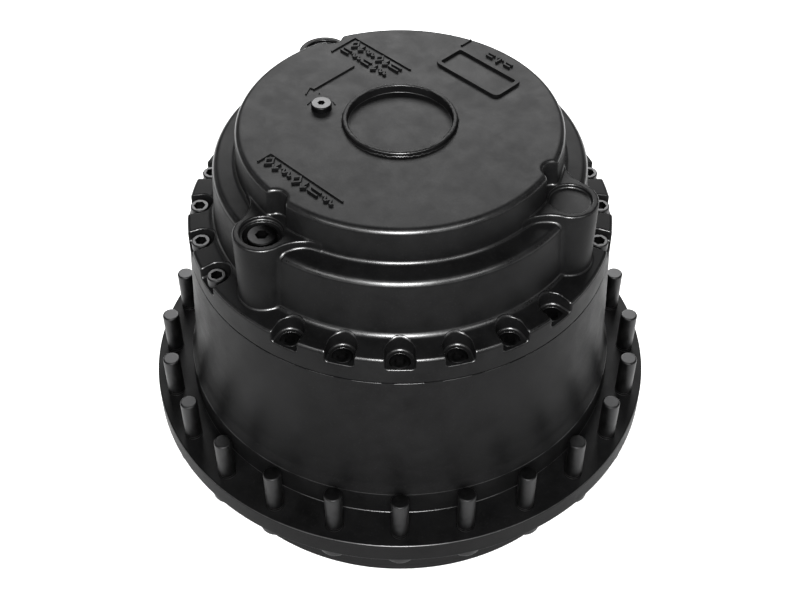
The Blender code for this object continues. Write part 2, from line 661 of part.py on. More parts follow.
out_pin_z, in_pin_z = (226.0, 307.6), (316.0, 389.6)
stage("output", OUT_MODULE, OUT_SUN, OUT_PLANET, OUT_RING, OUT_GEAR_Z, OUT_RING_Z, OUT_RING_R,
      OUT_PIN_R + 1.2, OUT_PIN_R, out_pin_z)
carrier("output_carrier", [
    (88.0, 308.0), (172.0, 308.0), (172.0, 222.0), (152.0, 222.0), (152.0, 203.6),
    (SPINDLE_SPIGOT_R + 0.5, 203.6), (SPINDLE_SPIGOT_R + 0.5, 237.5), (88.0, 237.5),
], OUT_MODULE * (OUT_SUN + OUT_PLANET) / 2.0, 72.0, (241.0, 295.0), OUT_PIN_R, out_pin_z, DARK_STEEL)
sun_plate = plate("output_sun", [
    gear_outline(OUT_MODULE, OUT_SUN), circle(45.8, SMALL_ROUND),
], *OUT_GEAR_Z)
finish(sun_plate, GEAR_STEEL, 20.0)

# ---------------------------------------------------------------- input stage
stage("input", IN_MODULE, IN_SUN, IN_PLANET, IN_RING, IN_GEAR_Z, IN_RING_Z, IN_RING_R,
      IN_PIN_R + 1.2, IN_PIN_R, in_pin_z)
carrier("input_carrier", [
    (54.0, 390.0), (146.0, 390.0), (146.0, 313.0), (44.0, 313.0), (44.0, 247.0),
    (25.0, 247.0), (25.0, 331.0), (54.0, 331.0),
], IN_MODULE * (IN_SUN + IN_PLANET) / 2.0, 74.0, (332.0, 376.0), IN_PIN_R, in_pin_z, DARK_STEEL)
shaft = turned("input_sun_shaft", [
    (0.0, 427.4), (15.0, 427.4), (15.0, 378.0), (20.0, 378.0), (20.0, 108.0), (32.0, 104.0),
    (32.0, 42.0), (17.0, 42.0), (17.0, 96.0), (0.0, 100.0),
], SMALL_ROUND)
join(shaft, plate("input_sun_teeth", [gear_outline(IN_MODULE, IN_SUN)], IN_GEAR_Z[0], IN_GEAR_Z[1],
                  CUTTERS))
finish(shaft, GEAR_STEEL, 20.0)
finish(rod("thrust_pad", 32.0, 427.9, CEILING_Z - FIT, SMALL_ROUND), BRONZE)
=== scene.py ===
"""Looks of the two-stage planetary wheel gearbox: castings with cast fillets, studs, screws, plugs, raised marks, paint, light and camera."""

import json
import math

import bmesh
import bpy
import numpy as np
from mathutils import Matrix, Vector


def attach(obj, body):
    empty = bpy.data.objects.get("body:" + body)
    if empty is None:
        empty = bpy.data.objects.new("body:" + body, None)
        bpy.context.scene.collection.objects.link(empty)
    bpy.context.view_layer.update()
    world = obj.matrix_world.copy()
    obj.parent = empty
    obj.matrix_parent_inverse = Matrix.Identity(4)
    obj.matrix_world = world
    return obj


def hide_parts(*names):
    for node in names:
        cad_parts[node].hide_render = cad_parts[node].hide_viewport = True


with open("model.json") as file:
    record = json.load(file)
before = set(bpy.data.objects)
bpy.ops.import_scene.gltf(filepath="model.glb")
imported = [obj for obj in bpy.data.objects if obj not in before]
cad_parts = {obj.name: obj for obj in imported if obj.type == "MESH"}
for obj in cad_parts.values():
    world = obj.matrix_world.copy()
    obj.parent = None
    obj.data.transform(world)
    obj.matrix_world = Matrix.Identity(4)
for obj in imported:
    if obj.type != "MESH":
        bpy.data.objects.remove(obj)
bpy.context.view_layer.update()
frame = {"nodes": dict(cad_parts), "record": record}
nodes = frame["nodes"]

MM = 0.001
TAU = 2.0 * math.pi

# Shared sizes, in millimetres, as the frame has them.
COVER_TOP = 461.7
RING_TOP = 347.3
JOINT_Z = 310.05
SCREW_R, SCREW_SEAT = 226.0, 330.5
SUNK = (-75, -60, -45, -30, -15, 0)
BOSSES = (-90.0, 18.2, 161.8)
BOSS_AT, BOSS_R, BOSS_TOP, WELL_R, WELL_DEPTH = 197.4, 29.8, 429.5, 22.7, 4.7
DRAIN_R, DRAIN_SEAT = 19.8, 414.5
SCREW_GAPS = (-90, 15, 165)
STUD_CIRCLE = 280.0
LEVEL_AT = (-75.5, -43.8)
screw_angles = [15 * i - 180 for i in range(24) if 15 * i - 180 not in SCREW_GAPS]


def polar(radius, degrees):
    a = math.radians(degrees)
    return radius * math.cos(a), radius * math.sin(a)


# ---------------------------------------------------------------- mesh tools
def add_mesh(name, points, faces, curve=None):
    """An object from points in millimetres, with the curvature of its surface kept as a point attribute."""
    mesh = bpy.data.meshes.new(name)
    mesh.from_pydata((np.asarray(points, float) * MM).tolist(), [], [list(f) for f in faces])
    mesh.update()
    obj = bpy.data.objects.new(name, mesh)
    bpy.context.scene.collection.objects.link(obj)
    if curve is not None:
        keep_curve(obj, curve)
    return obj


def keep_curve(obj, values):
    mesh = obj.data
    attribute = mesh.attributes.get("edge") or mesh.attributes.new("edge", "FLOAT", "POINT")
    attribute.data.foreach_set("value", np.ascontiguousarray(values, np.float32))


def evaluated(obj, name):
    """The object with its modifiers applied, as a new object."""
    bpy.context.view_layer.update()
    graph = bpy.context.evaluated_depsgraph_get()
    mesh = bpy.data.meshes.new_from_object(obj.evaluated_get(graph))
    mesh.name = name
    made = bpy.data.objects.new(name, mesh)
    made.matrix_world = obj.matrix_world
    bpy.context.scene.collection.objects.link(made)
    old = obj.data
    bpy.data.objects.remove(obj)
    if old.users == 0 and isinstance(old, bpy.types.Mesh):
        bpy.data.meshes.remove(old)
    made.name = name
    return made


def carve(obj, *cutters):
    """Cuts closed shapes out of a closed shape."""
    name = obj.name
    for cutter in cutters:
        step = obj.modifiers.new("cut", "BOOLEAN")
        step.operation = "DIFFERENCE"
        step.solver = "EXACT"
        step.object = cutter
    made = evaluated(obj, name)
    for cutter in cutters:
        mesh = cutter.data
        bpy.data.objects.remove(cutter)
        bpy.data.meshes.remove(mesh)
    return made


def shade(obj, degrees=32.0):
    obj.data.shade_smooth()
    obj.data.set_sharp_from_angle(angle=math.radians(degrees))
    return obj


def rounded(profile, step=20.0, closed=True):
    """Points (radius, height, curvature) along a profile of (radius, height, corner radius), each corner an arc and each straight run held by a close pair of points."""
    out = []
    count = len(profile)
    for i, (r, z, f) in enumerate(profile):
        here = np.array((r, z), float)
        before = np.array(profile[i - 1][:2], float)
        after = np.array(profile[(i + 1) % count][:2], float)
        if f <= 0.0 or (not closed and i in (0, count - 1)):
            out.append((r, z, 0.0))
            continue
        a = (before - here) / np.linalg.norm(before - here)
        b = (after - here) / np.linalg.norm(after - here)
        turn = math.pi - math.acos(np.clip(a @ b, -1.0, 1.0))
        reach = f * math.tan(turn / 2.0)
        side = a[0] * b[1] - a[1] * b[0]
        centre = here + (a + b) / np.linalg.norm(a + b) * f / math.cos(turn / 2.0)
        start, end = here + a * reach, here + b * reach
        parts = max(2, int(math.ceil(math.degrees(turn) / step)))
        bend = (1.0 if side > 0.0 else -1.0) / f
        out.append((*(start + a * 0.5), 0.0))
        first, last = start - centre, end - centre
        for k in range(parts + 1):
            t = k / parts
            w = (math.sin((1 - t) * turn) * first + math.sin(t * turn) * last) / math.sin(turn)
            out.append((*(centre + w), bend))
        out.append((*(end + b * 0.5), 0.0))
    return out


def facing_out(profile):
    """The profile in the order that turns its faces outwards."""
    area = sum(
        profile[i - 1][0] * profile[i][1] - profile[i][0] * profile[i - 1][1]
        for i in range(len(profile))
    )
    return list(profile) if area > 0.0 else list(reversed(profile))


def lathe(name, profile, steps, step=20.0, phase=0.0):
    """A closed profile spun round Z. Points on the axis become poles."""
    line = rounded(facing_out(profile), step)
    r = np.array([p[0] for p in line])
    z = np.array([p[1] for p in line])
    bend = np.array([p[2] for p in line])
    count = len(line)
    points, curve, start = [], [], []
    angles = TAU * np.arange(steps) / steps + phase
    for i in range(count):
        start.append(len(points))
        if r[i] < 1e-6:
            points.append((0.0, 0.0, z[i]))
            curve.append(bend[i])
        else:
            points += list(zip(r[i] * np.cos(angles), r[i] * np.sin(angles), np.full(steps, z[i])))
            curve += [bend[i]] * steps
    faces = []
    for i in range(count):
        j = (i + 1) % count
        pole_i, pole_j = r[i] < 1e-6, r[j] < 1e-6
        if pole_i and pole_j:
            continue
        for k in range(steps):
            m = (k + 1) % steps
            a, b = start[i] + (0 if pole_i else k), start[i] + (0 if pole_i else m)
            c, d = start[j] + (0 if pole_j else m), start[j] + (0 if pole_j else k)
            face = []
            for v in (a, b, c, d):
                if v not in face:
                    face.append(v)
            faces.append(face)
    obj = add_mesh(name, points, faces, curve)
    obj["edge_line"] = [float(v) for p in line for v in p]
    return obj


def recall_curve(obj):
    """Puts the profile's curvature back on a turned piece after holes were cut in it."""
    line = np.array(obj.pop("edge_line") if "edge_line" in obj else [], float).reshape(-1, 3)
    count = len(obj.data.vertices)
    co = np.empty(count * 3)
    obj.data.vertices.foreach_get("co", co)
    co = co.reshape(-1, 3) / MM
    r = np.hypot(co[:, 0], co[:, 1])
    best = np.full(count, 1e9)
    value = np.zeros(count)
    for pr, pz, pc in line:
        off = np.abs(r - pr) + np.abs(co[:, 2] - pz)
        near = off < best
        best[near] = off[near]
        value[near] = pc
    value[best > 0.05] = 0.0
    keep_curve(obj, value)


def holes(name, places, radius, low, high, sides=24):
    """Closed round cutters along Z."""
    work = bmesh.new()
    for x, y, turn in places:
        made = bmesh.ops.create_cone(
            work, cap_ends=True, segments=sides, radius1=radius * MM, radius2=radius * MM, depth=(high - low) * MM
        )
        for v in made["verts"]:
            px, py, pz = v.co
            c, s = math.cos(turn), math.sin(turn)
            v.co = (c * px - s * py + x * MM, s * px + c * py + y * MM, pz + (low + high) / 2.0 * MM)
    mesh = bpy.data.meshes.new(name)
    work.to_mesh(mesh)
    work.free()
    obj = bpy.data.objects.new(name, mesh)
    bpy.context.scene.collection.objects.link(obj)
    return obj


# ---------------------------------------------------------------- solid fields
def round_max(a, b, r):
    return np.minimum(-r, np.maximum(a, b)) + np.hypot(np.maximum(a + r, 0.0), np.maximum(b + r, 0.0))


def round_min(a, b, r):
    return np.maximum(r, np.minimum(a, b)) - np.hypot(np.maximum(r - a, 0.0), np.maximum(r - b, 0.0))


def cover_field(x, y, z):
    """Distance in millimetres to the cover casting, negative inside."""
    rad = np.hypot(x, y)
    ring = round_max(rad - 238.9 + 0.0135 * (z - 310.45), (z - RING_TOP + 0.14 * (rad - 215.0)) * 0.99, 3.6)
    lower = round_max((rad - 207.2 + 0.0593 * (z - 358.0)) * 0.998, (z - 421.0 + 0.12 * (rad - 178.0)) * 0.993, 7.0)
    drum = round_max((rad - 177.8 + 0.0554 * (z - 424.0)) * 0.998, z - COVER_TOP, 6.5)
    frames = []
    for angle in BOSSES:
        c, s = math.cos(math.radians(angle)), math.sin(math.radians(angle))
        u, v = x * c + y * s, np.abs(y * c - x * s)
        frames.append((u, v, np.hypot(u - BOSS_AT, v)))
        scallop = np.maximum(np.hypot(u - 177.5, v) - 12.5, 424.0 - z)
        drum = round_max(drum, -scallop, 4.0)
    body = round_min(round_min(lower, ring, 6.5), drum, 4.5)
    for u, v, round_boss in frames:
        side = np.maximum(
            np.maximum(40.0 - np.hypot(u - 206.2, v - 69.2), 130.0 - u), np.maximum(u - 201.2, v - 56.5)
        )
        shape = np.minimum(round_boss - BOSS_R, side)
        body = round_min(body, round_max(shape, z - BOSS_TOP, 2.2), 3.0)
    for u, v, round_boss in frames:
        well = round_max(round_boss - WELL_R, BOSS_TOP - WELL_DEPTH - z, 2.2)
        body = round_max(body, -well, 1.2)
    drain = frames[0][2]
    body = round_max(body, -np.maximum(drain - DRAIN_R, DRAIN_SEAT - z), 0.8)
    turn = np.arctan2(y, x)
    slot = np.round(turn / math.radians(15.0))
    off = turn - slot * math.radians(15.0)
    u, v = rad * np.cos(off) - SCREW_R, rad * np.sin(off)
    free = np.zeros(slot.shape, bool)
    for gap in SCREW_GAPS:
        free |= slot == gap / 15
    deep = np.zeros(slot.shape, bool)
    for angle in SUNK:
        deep |= slot == angle / 15
    outline = np.where(free, 60.0, np.hypot(np.minimum(u, 0.0), v) - 15.4)
    notch = round_max(outline, SCREW_SEAT - z, 3.6)
    body = round_max(body, -notch, 1.4)
    bore = np.hypot(u, v)
    body = np.maximum(body, -np.maximum(np.where(free, 60.0, bore - 7.7), z - SCREW_SEAT - 4.0))
    counter = np.maximum(np.where(deep, np.maximum(bore - 10.9, u - 6.5), 60.0), SCREW_SEAT - 12.0 - z)
    body = np.maximum(body, -np.maximum(counter, z - SCREW_SEAT - 4.0))
    rim = round_max(rad - 61.4, z - 466.8, 1.8)
    body = round_min(body, rim, 0.7)
    body = round_max(body, -round_max(rad - 56.3, 457.3 - z, 1.0), 0.9)
    tap = np.maximum(np.hypot(x - LEVEL_AT[0], y - LEVEL_AT[1]) - 8.4, 430.0 - z)
    body = np.maximum(body, -tap)
    body = np.maximum(body, -np.maximum(np.maximum(drain - 11.4, z - 420.0), 393.0 - z))
    under = np.where(z < 304.0, rad - 209.6, np.where(z < JOINT_Z, rad - 213.9, -50.0))
    body = np.maximum(np.maximum(body, under), 300.0 - z)
    core = np.minimum(np.maximum(rad - 190.3, z - 388.6), round_max(rad - 162.0, z - 437.0, 9.0))
    return np.maximum(body, -core)


def cover_inside(p):
    rad = np.hypot(p[:, 0], p[:, 1])
    return ((rad < 192.0) & (p[:, 2] < 439.0)) | (p[:, 2] < 309.0)


def gradient(field, p, e):
    g = np.empty_like(p)
    for i in range(3):
        q = p.copy()
        q[:, i] += e
        up = field(q[:, 0], q[:, 1], q[:, 2])
        q[:, i] -= 2.0 * e
        g[:, i] = (up - field(q[:, 0], q[:, 1], q[:, 2])) / (2.0 * e)
    return g


def on_surface(field, p, rounds, most):
    for _ in range(rounds):
        g = gradient(field, p, 0.05)
        size = np.maximum((g * g).sum(1), 0.2)
        move = (field(p[:, 0], p[:, 1], p[:, 2]) / size)[:, None] * g
        length = np.maximum(np.linalg.norm(move, axis=1, keepdims=True), 1e-9)
        p = p - move * np.minimum(1.0, most / length)
    return p


def skin(field, low, high, h):
    """Points and quads of the field's zero surface, one point in each grid cell that the surface crosses."""
    low, high = np.array(low, float), np.array(high, float)
    n = np.ceil((high - low) / h).astype(int) + 1
    axes = [low[i] + h * np.arange(n[i]) for i in range(3)]
    f = np.empty(n, np.float32)
    for i in range(0, n[0], 8):
        f[i : i + 8] = field(axes[0][i : i + 8, None, None], axes[1][None, :, None], axes[2][None, None, :])
    inside = f < 0.0
    count = np.zeros(n - 1, np.uint8)
    offsets = [(a, b, c) for a in (0, 1) for b in (0, 1) for c in (0, 1)]
    for a, b, c in offsets:
        count += inside[a : n[0] - 1 + a, b : n[1] - 1 + b, c : n[2] - 1 + c]
    active = (count > 0) & (count < 8)
    index = np.full(n - 1, -1, np.int32)
    where = np.argwhere(active)
    index[active] = np.arange(len(where), dtype=np.int32)
    corner = np.stack([f[where[:, 0] + a, where[:, 1] + b, where[:, 2] + c] for a, b, c in offsets], 1)
    total, hits = np.zeros((len(where), 3)), np.zeros(len(where))
    for p in range(8):
        for axis in range(3):
            a = np.array(offsets[p])
            if a[axis]:
                continue
            b = a.copy()
            b[axis] = 1
            q = offsets.index(tuple(b))
            one, two = corner[:, p], corner[:, q]
            cross = (one < 0.0) != (two < 0.0)
            t = np.where(cross, one / np.where(cross, one - two, 1.0), 0.0)
            spot = a[None, :] + t[:, None] * (b - a)[None, :]
            total += np.where(cross[:, None], spot, 0.0)
            hits += cross
    points = low + h * (where + total / hits[:, None])
    quads = []
    for axis in range(3):
        one = [slice(None)] * 3
        two = [slice(None)] * 3
        one[axis], two[axis] = slice(0, n[axis] - 1), slice(1, n[axis])
        change = inside[tuple(one)] != inside[tuple(two)]
        e = np.argwhere(change)
        b, c = [(1, 2), (0, 2), (0, 1)][axis]
        e = e[(e[:, b] > 0) & (e[:, c] > 0) & (e[:, b] < n[b] - 1) & (e[:, c] < n[c] - 1)]
        cells = []
        for sb, sc in ((-1, -1), (0, -1), (0, 0), (-1, 0)):
            cell = e.copy()
            cell[:, b] += sb
            cell[:, c] += sc
            cells.append(index[cell[:, 0], cell[:, 1], cell[:, 2]])
        quad = np.stack(cells, 1)
        leaving = inside[e[:, 0], e[:, 1], e[:, 2]]
        if axis == 1:
            leaving = ~leaving
        quad[~leaving] = quad[~leaving][:, ::-1]
        quads.append(quad)
    return points, np.concatenate(quads)


def curvature(field, p, e):
    spread = -6.0 * field(p[:, 0], p[:, 1], p[:, 2])
    for i in range(3):
        for sign in (-e, e):
            q = p.copy()
            q[:, i] += sign
            spread += field(q[:, 0], q[:, 1], q[:, 2])
    return spread / (e * e)


def cast(name, field, low, high, h, faces, hidden):
    """A casting with its fillets, thinned away from its bends and where it is hidden, with its true normals and curvature."""
    points, quads = skin(field, low, high, h)
    points = on_surface(field, points, 2, h)
    near = (np.abs(curvature(field, points, 1.2)) > 0.03) & ~hidden(points)
    near[quads[near[quads].any(1)].ravel()] = True
    mesh = bpy.data.meshes.new(name)
    mesh.vertices.add(len(points))
    mesh.vertices.foreach_set("co", (points * MM).astype(np.float32).ravel())
    mesh.loops.add(quads.size)
    mesh.loops.foreach_set("vertex_index", quads.astype(np.int32).ravel())
    mesh.polygons.add(len(quads))
    mesh.polygons.foreach_set("loop_start", np.arange(0, quads.size, 4, dtype=np.int32))
    mesh.update(calc_edges=True)
    mesh.validate()
    obj = bpy.data.objects.new(name, mesh)
    bpy.context.scene.collection.objects.link(obj)
    plain = obj.vertex_groups.new(name="plain")
    plain.add(np.nonzero(~near)[0].tolist(), 1.0, "ADD")
    thin = obj.modifiers.new("thin", "DECIMATE")
    thin.ratio = min(1.0, faces / (2.0 * len(quads)))
    thin.vertex_group = "plain"
    obj = evaluated(obj, name)
    mesh = obj.data
    p = np.empty(len(mesh.vertices) * 3, np.float32)
    mesh.vertices.foreach_get("co", p)
    p = p.reshape(-1, 3).astype(float) / MM
    p = on_surface(field, p, 1, 0.6)
    mesh.vertices.foreach_set("co", (p * MM).astype(np.float32).ravel())
    keep_curve(obj, curvature(field, p, 1.2))
    g = gradient(field, p, 0.25)
    g /= np.maximum(np.linalg.norm(g, axis=1, keepdims=True), 1e-9)
    mesh.shade_smooth()
    mesh.normals_split_custom_set_from_vertices(g.tolist())
    mesh.update()
    return obj


# ---------------------------------------------------------------- materials
def new_material(name):
    made = bpy.data.materials.new(name)
    made.use_nodes = True
    tree = made.node_tree
    return made, tree, tree.nodes["Principled BSDF"]


def node(tree, kind, **values):
    made = tree.nodes.new(kind)
    for key, value in values.items():
        setattr(made, key, value)
    return made


def noise(tree, vector, scale, detail=4.0, rough=0.55, distortion=0.0):
    made = node(tree, "ShaderNodeTexNoise")
    made.inputs["Scale"].default_value = scale
    made.inputs["Detail"].default_value = detail
    made.inputs["Roughness"].default_value = rough
    made.inputs["Distortion"].default_value = distortion
    tree.links.new(vector, made.inputs["Vector"])
    return made.outputs["Fac"]


def mapped(tree, value, low, high, to_low=0.0, to_high=1.0, smooth=False):
    made = node(tree, "ShaderNodeMapRange")
    if smooth:
        made.interpolation_type = "SMOOTHSTEP"
    tree.links.new(value, made.inputs["Value"])
    for key, number in (("From Min", low), ("From Max", high), ("To Min", to_low), ("To Max", to_high)):
        made.inputs[key].default_value = number
    return made.outputs["Result"]


def sums(tree, operation, a, b):
    made = node(tree, "ShaderNodeMath", operation=operation)
    for i, value in enumerate((a, b)):
        if isinstance(value, (int, float)):
            made.inputs[i].default_value = value
        else:
            tree.links.new(value, made.inputs[i])
    return made.outputs[0]


def blend(tree, share, a, b, kind="MIX"):
    made = node(tree, "ShaderNodeMix", data_type="RGBA", blend_type=kind)
    if isinstance(share, (int, float)):
        made.inputs["Factor"].default_value = share
    else:
        tree.links.new(share, made.inputs["Factor"])
    for i, value in ((6, a), (7, b)):
        if isinstance(value, tuple):
            made.inputs[i].default_value = (*value, 1.0)
        else:
            tree.links.new(value, made.inputs[i])
    return made.outputs[2]


def bumped(tree, shader, heights):
    """Heights in metres as (output, distance, strength), the coarse one first."""
    last = None
    for value, distance, strength in heights:
        made = node(tree, "ShaderNodeBump")
        made.inputs["Distance"].default_value = distance
        made.inputs["Strength"].default_value = strength
        tree.links.new(value, made.inputs["Height"])
        if last is not None:
            tree.links.new(last, made.inputs["Normal"])
        last = made.outputs["Normal"]
    tree.links.new(last, shader.inputs["Normal"])


def coat_of_paint(name, dark, light, rough, sheen=0.05, polish=0.95):
    """Satin paint over a casting: cloudy tone and fine grain, rubbed to a shine along edges and in fillets."""
    made, tree, shader = new_material(name)
    spot = node(tree, "ShaderNodeTexCoord")
    place = spot.outputs["Object"]
    lean = node(tree, "ShaderNodeSeparateXYZ")
    tree.links.new(spot.outputs["Normal"], lean.inputs["Vector"])
    edge = node(tree, "ShaderNodeAttribute", attribute_name="edge").outputs["Fac"]
    clouds = noise(tree, place, 13.0, 5.0, 0.6, 0.4)
    patches = noise(tree, place, 42.0, 6.0, 0.62, 0.2)
    grain = noise(tree, place, 420.0, 3.0, 0.6)
    fine = noise(tree, place, 1500.0, 2.0, 0.5)
    tone = sums(tree, "ADD", sums(tree, "MULTIPLY", clouds, 0.55), sums(tree, "MULTIPLY", patches, 0.45))
    tone = mapped(tree, tone, 0.34, 0.66)
    colour = blend(tree, tone, dark, light)
    speck = mapped(tree, grain, 0.56, 0.72, 0.0, 0.35, True)
    colour = blend(tree, speck, colour, tuple(1.9 * v for v in light))
    tree.links.new(colour, shader.inputs["Base Color"])
    bend = sums(tree, "ABSOLUTE", edge, 0.0)
    rubbed = mapped(tree, bend, 0.045, 0.11, 0.0, 1.0, True)
    rubbed = sums(tree, "MULTIPLY", rubbed, mapped(tree, patches, 0.3, 0.6, 0.82, 1.0))
    rubbed = sums(tree, "MULTIPLY", rubbed, mapped(tree, lean.outputs["Z"], 0.3, 0.55, 0.0, 1.0, True))
    rubbed = sums(tree, "MULTIPLY", rubbed, mapped(tree, lean.outputs["Z"], 0.78, 0.93, 1.0, 0.0, True))
    tree.links.new(mapped(tree, rubbed, 0.0, 1.0, sheen, sheen + polish), shader.inputs["Specular IOR Level"])
    satin = sums(tree, "ADD", mapped(tree, patches, 0.3, 0.7, rough - 0.05, rough + 0.06), sums(tree, "MULTIPLY", sums(tree, "SUBTRACT", grain, 0.5), 0.12))
    satin = sums(tree, "SUBTRACT", satin, sums(tree, "MULTIPLY", rubbed, 0.19))
    tree.links.new(satin, shader.inputs["Roughness"])
    bumped(tree, shader, [(patches, 0.0006, 0.16), (grain, 0.00025, 0.2), (fine, 0.00008, 0.16)])
    return made


def steel(name, dark, light, rough, rings=0.0, spots=0.3):
    """Machined steel: oily tone, fine cutting marks round the axis where rings is set."""
    made, tree, shader = new_material(name)
    place = node(tree, "ShaderNodeTexCoord").outputs["Object"]
    edge = node(tree, "ShaderNodeAttribute", attribute_name="edge").outputs["Fac"]
    film = noise(tree, place, 55.0, 5.0, 0.6, 0.3)
    grain = noise(tree, place, 900.0, 3.0, 0.6)
    colour = blend(tree, mapped(tree, film, 0.32, 0.68), dark, light)
    colour = blend(tree, mapped(tree, grain, 0.58, 0.75, 0.0, spots, True), colour, tuple(0.5 * v for v in dark))
    bright = mapped(tree, edge, 0.15, 0.5, 0.0, 0.8, True)
    colour = blend(tree, bright, colour, tuple(min(1.0, 2.2 * v + 0.12) for v in light))
    tree.links.new(colour, shader.inputs["Base Color"])
    shader.inputs["Metallic"].default_value = 1.0
    tree.links.new(mapped(tree, film, 0.3, 0.7, rough - 0.05, rough + 0.1), shader.inputs["Roughness"])
    heights = [(film, 0.0003, 0.12), (grain, 0.00008, 0.15)]
    if rings:
        turned = node(tree, "ShaderNodeTexWave", wave_type="BANDS", bands_direction="Z")
        turned.inputs["Scale"].default_value = rings
        turned.inputs["Distortion"].default_value = 0.6
        turned.inputs["Detail"].default_value = 2.0
        tree.links.new(place, turned.inputs["Vector"])
        heights.insert(0, (turned.outputs["Fac"], 0.00006, 0.2))
    bumped(tree, shader, heights)
    return made


def elastomer(name, tone):
    made, tree, shader = new_material(name)
    place = node(tree, "ShaderNodeTexCoord").outputs["Object"]
    bloom = noise(tree, place, 60.0, 5.0, 0.6)
    grain = noise(tree, place, 1300.0, 2.0, 0.5)
    tree.links.new(blend(tree, mapped(tree, bloom, 0.35, 0.7), tone, tuple(2.2 * v for v in tone)), shader.inputs["Base Color"])
    tree.links.new(mapped(tree, bloom, 0.3, 0.7, 0.55, 0.75), shader.inputs["Roughness"])
    bumped(tree, shader, [(grain, 0.00008, 0.3)])
    return made


PAINT = coat_of_paint("cast_paint", (0.0036, 0.0036, 0.0037), (0.009, 0.009, 0.0092), 0.47)
STUD = steel("stud_steel", (0.022, 0.022, 0.0223), (0.042, 0.042, 0.0425), 0.44, 130.0)
BLACK = steel("black_steel", (0.021, 0.021, 0.0213), (0.039, 0.039, 0.0395), 0.42)
PLUG = steel("plug_steel", (0.010, 0.010, 0.0102), (0.019, 0.019, 0.0193), 0.45)
GEAR = steel("gear_steel", (0.30, 0.295, 0.285), (0.46, 0.455, 0.445), 0.28)
GROUND = steel("ground_steel", (0.48, 0.48, 0.48), (0.66, 0.66, 0.665), 0.18)
IRON = steel("carrier_iron", (0.12, 0.12, 0.122), (0.21, 0.21, 0.212), 0.45, spots=0.5)
BRONZE = steel("bronze", (0.36, 0.22, 0.08), (0.58, 0.38, 0.16), 0.32)
RUBBER = elastomer("seal_rubber", (0.012, 0.012, 0.012))


def dress(obj, material):
    obj.data.materials.clear()
    obj.data.materials.append(material)
    return obj


# ---------------------------------------------------------------- cover
cover = cast("cover_casting", cover_field, (-243.0, -243.0, 297.5), (243.0, 243.0, 470.0), 2.05, 192000, cover_inside)
dress(cover, PAINT)
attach(cover, "hub")
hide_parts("cover")

# ---------------------------------------------------------------- hub
hub = lathe("hub_casting", [
    (214.3, 310.0, 1.0), (238.95, 310.0, 0.6), (246.2, 178.0, 60.0), (249.6, 150.0, 30.0),
    (254.0, 141.5, 2.5), (254.0, 111.0, 1.6), (300.0, 111.0, 1.8), (300.0, 84.5, 1.8),
    (252.0, 84.5, 3.0), (252.0, 42.0, 2.5), (206.0, 42.0, 1.0),
    (206.0, 50.6, 0.0), (190.0, 50.6, 0.0), (190.0, 106.0, 0.0), (176.0, 106.0, 1.0),
    (168.0, 158.0, 1.0), (180.0, 158.0, 0.0), (180.0, 202.0, 0.0), (214.3, 202.0, 0.0),
], 240)
stud_places = [(*polar(STUD_CIRCLE, 15.0 * i), math.radians(15.0 * i)) for i in range(24)]
screw_places = [(*polar(SCREW_R, a), math.radians(a)) for a in screw_angles]
line = list(hub["edge_line"])
hub = carve(
    hub,
    holes("stud_holes", stud_places, 10.3, 60.0, 120.0, 28),
    holes("tap_holes", screw_places, 7.5, 279.5, 320.0, 20),
)
hub["edge_line"] = line
recall_curve(hub)
co = np.empty(len(hub.data.vertices) * 3)
hub.data.vertices.foreach_get("co", co)
co = co.reshape(-1, 3) / MM
bend = np.empty(len(co), np.float32)
hub.data.attributes["edge"].data.foreach_get("value", bend)
sector = np.degrees(np.arctan2(co[:, 1], co[:, 0])) % 11.25
bend[(co[:, 2] < 100.0) | ((co[:, 2] > 305.0) & (sector > 5.6))] = 0.0
keep_curve(hub, bend)
shade(hub)
dress(hub, PAINT)
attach(hub, "hub")
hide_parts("hub")

# ---------------------------------------------------------------- spindle
spindle = lathe("spindle_casting", [
    (62.0, 236.0, 1.5), (105.0, 236.0, 1.5), (105.0, 203.0, 1.0), (130.0, 203.0, 1.0),
    (130.0, 112.0, 1.0), (140.0, 112.0, 1.0), (140.0, 61.7, 1.0), (150.0, 61.7, 1.0),
    (150.0, 38.0, 2.0), (193.0, 38.0, 1.0), (193.0, 48.5, 1.0), (199.0, 48.5, 1.0),
    (199.0, 38.0, 3.0), (256.5, 38.0, 3.0), (256.5, 0.0, 3.0), (152.0, 0.0, 1.5),
    (152.0, 6.0, 1.0), (76.2, 6.0, 1.5), (76.2, 31.0, 1.0), (62.0, 31.0, 1.5),
], 240)
line = list(spindle["edge_line"])
frame_taps = [(*polar(228.0, 30.0 * (i + 0.5)), 0.0) for i in range(12)]
motor_taps = [(*polar(114.3, 45.0 + 90.0 * i), 0.0) for i in range(4)]
spindle = carve(
    spindle,
    holes("frame_taps", frame_taps, 8.75, -6.0, 32.0, 28),
    holes("motor_taps", motor_taps, 8.75, -2.0, 38.0, 28),
)
spindle["edge_line"] = line
recall_curve(spindle)
shade(spindle)
dress(spindle, PAINT)
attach(spindle, "spindle")
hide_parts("spindle")

